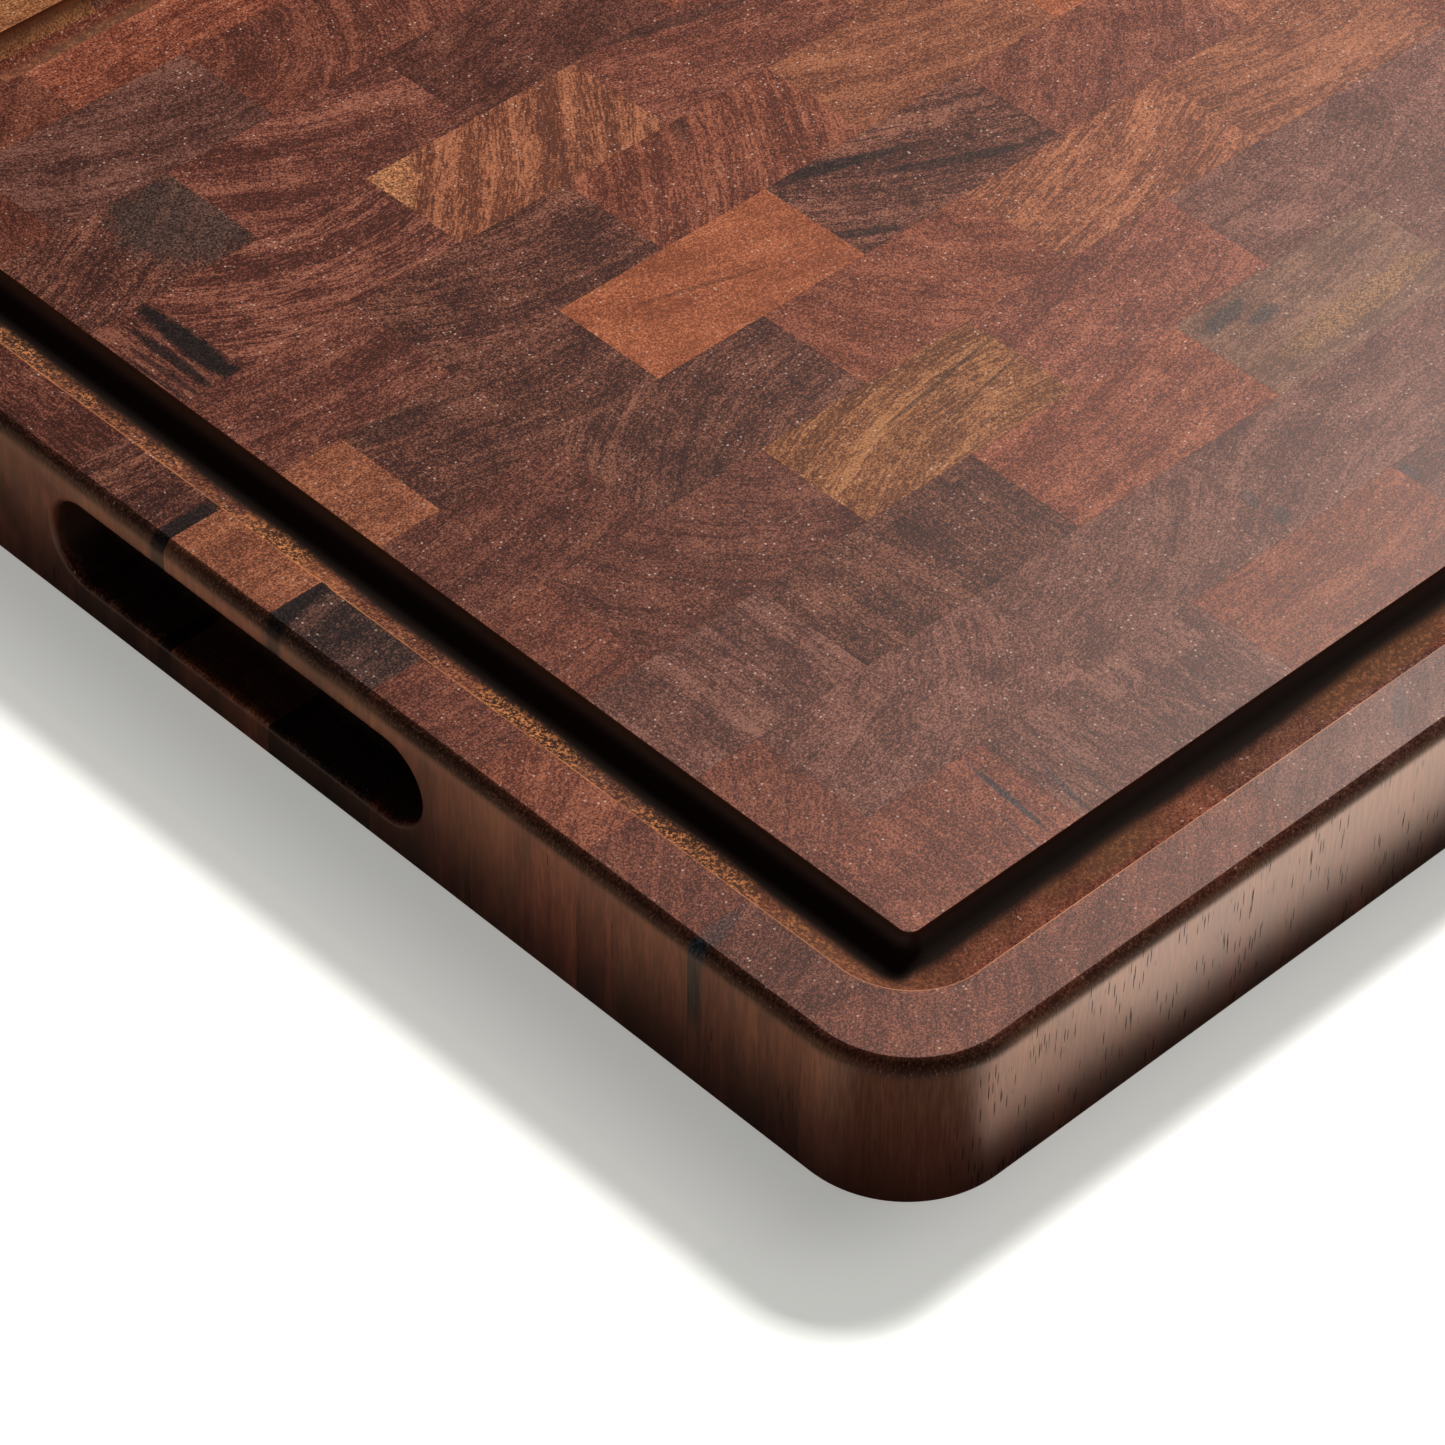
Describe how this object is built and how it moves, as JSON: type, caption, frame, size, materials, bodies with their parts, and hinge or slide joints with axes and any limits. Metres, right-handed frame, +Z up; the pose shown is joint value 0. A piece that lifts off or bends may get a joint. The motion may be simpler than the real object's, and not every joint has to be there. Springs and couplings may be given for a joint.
{
  "type": "cutting board",
  "caption": "Thick rectangular end-grain wooden cutting board with rounded corners, a juice groove round the top and a finger slot in each end.",
  "frame": {"origin": "centre of the underside, on the surface that the board rests on", "axes": "+X along the board's length, +Y along its width, +Z up through the cutting face"},
  "size_m": [0.508, 0.381, 0.0381],
  "materials": {
    "red_brown_wood": "oiled end grain, satin",
    "plum_brown_wood": "oiled end grain, satin",
    "orange_wood": "oiled end grain, satin",
    "honey_wood": "oiled end grain, satin",
    "charcoal_wood": "oiled end grain, satin"
  },
  "bodies": {
    "root": {"row_01_blocks_1_to_3": "red_brown_wood", "row_01_blocks_4_to_5": "red_brown_wood", "row_01_blocks_6_to_7": "plum_brown_wood", "row_01_blocks_8_to_9": "red_brown_wood", "row_02_blocks_1_to_2": "plum_brown_wood", "row_02_blocks_3_to_4": "red_brown_wood", "row_02_blocks_5_to_6": "red_brown_wood", "row_02_blocks_7_to_8": "plum_brown_wood", "row_02_blocks_9_to_10": "red_brown_wood", "row_03_blocks_1_to_3": "red_brown_wood", "row_03_blocks_4_to_5": "plum_brown_wood", "row_03_blocks_6_to_7": "red_brown_wood", "row_03_blocks_8_to_9": "red_brown_wood", "row_04_blocks_1_to_2": "plum_brown_wood", "row_04_blocks_3_to_4": "plum_brown_wood", "row_04_blocks_5_to_6": "red_brown_wood", "row_04_blocks_7_to_8": "orange_wood", "row_04_blocks_9_to_10": "red_brown_wood", "row_05_blocks_1_to_3": "red_brown_wood", "row_05_blocks_4_to_5": "honey_wood", "row_05_blocks_6_to_7": "red_brown_wood", "row_05_blocks_8_to_9": "plum_brown_wood", "row_06_blocks_1_to_2": "charcoal_wood", "row_06_blocks_3_to_4": "plum_brown_wood", "row_06_blocks_5_to_6": "red_brown_wood", "row_06_blocks_7_to_8": "orange_wood", "row_06_blocks_9_to_10": "plum_brown_wood", "row_07_blocks_1_to_3": "orange_wood", "row_07_blocks_4_to_5": "orange_wood", "row_07_blocks_6_to_7": "charcoal_wood", "row_07_blocks_8_to_9": "red_brown_wood", "row_08_blocks_1_to_2": "plum_brown_wood", "row_08_blocks_3_to_4": "plum_brown_wood", "row_08_blocks_5_to_6": "red_brown_wood", "row_08_blocks_7_to_8": "red_brown_wood", "row_08_blocks_9_to_10": "orange_wood", "row_09_blocks_1_to_3": "charcoal_wood", "row_09_blocks_4_to_5": "red_brown_wood", "row_09_blocks_6_to_7": "honey_wood", "row_09_blocks_8_to_9": "plum_brown_wood", "row_10_blocks_1_to_2": "red_brown_wood", "row_10_blocks_3_to_4": "plum_brown_wood", "row_10_blocks_5_to_6": "plum_brown_wood", "row_10_blocks_7_to_8": "red_brown_wood", "row_10_blocks_9_to_10": "red_brown_wood", "row_11_blocks_1_to_3": "red_brown_wood", "row_11_blocks_4_to_5": "red_brown_wood", "row_11_blocks_6_to_7": "plum_brown_wood", "row_11_blocks_8_to_9": "orange_wood", "row_12_blocks_1_to_2": "orange_wood", "row_12_blocks_3_to_4": "red_brown_wood", "row_12_blocks_5_to_6": "plum_brown_wood", "row_12_blocks_7_to_8": "charcoal_wood", "row_12_blocks_9_to_10": "red_brown_wood", "row_13_blocks_1_to_3": "plum_brown_wood", "row_13_blocks_4_to_5": "red_brown_wood", "row_13_blocks_6_to_7": "red_brown_wood", "row_13_blocks_8_to_9": "orange_wood"}
  },
  "joints": []
}
